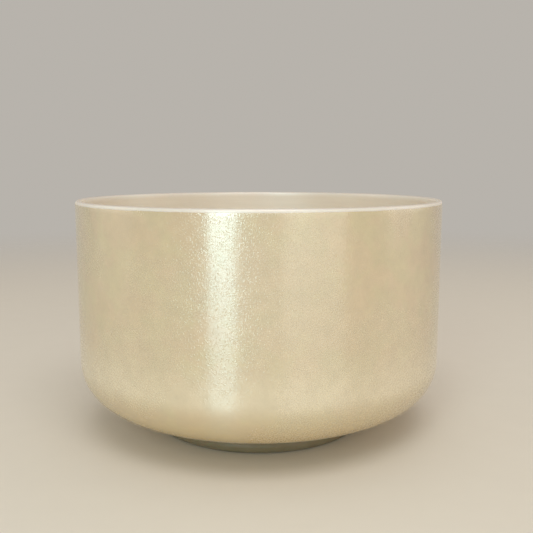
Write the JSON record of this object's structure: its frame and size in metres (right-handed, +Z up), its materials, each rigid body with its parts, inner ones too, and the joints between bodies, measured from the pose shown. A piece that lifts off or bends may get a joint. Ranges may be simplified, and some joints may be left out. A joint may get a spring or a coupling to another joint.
{
  "type": "singing bowl",
  "caption": "Cylindrical crystal singing bowl with a pearl-coated outside, a bare rounded rim and a shallow domed bottom, resting on a loose silicone ring that it lifts off.",
  "frame": {"origin": "centre of the support ring's foot, on the surface that the object stands on", "axes": "+Z up along the bowl's and the ring's common axis; X and Y are free, because the object is round"},
  "size_m": [0.254, 0.254, 0.16],
  "materials": {
    "frosted_quartz": "white frosted fused quartz, satin, slightly translucent",
    "pearl_coating": "cream pearl lustre over a fine sandblasted grain, semi-gloss",
    "silicone": "milky translucent silicone, smooth, satin"
  },
  "bodies": {
    "ring": {"support_ring": "silicone"},
    "bowl": {"quartz_bowl": "frosted_quartz", "pearl_coating": "pearl_coating"}
  },
  "joints": [
    {"name": "bowl_lift", "type": "slide", "parent": "ring", "child": "bowl", "axis": [0, 0, 1], "range_m": [0, 0.08]}
  ]
}
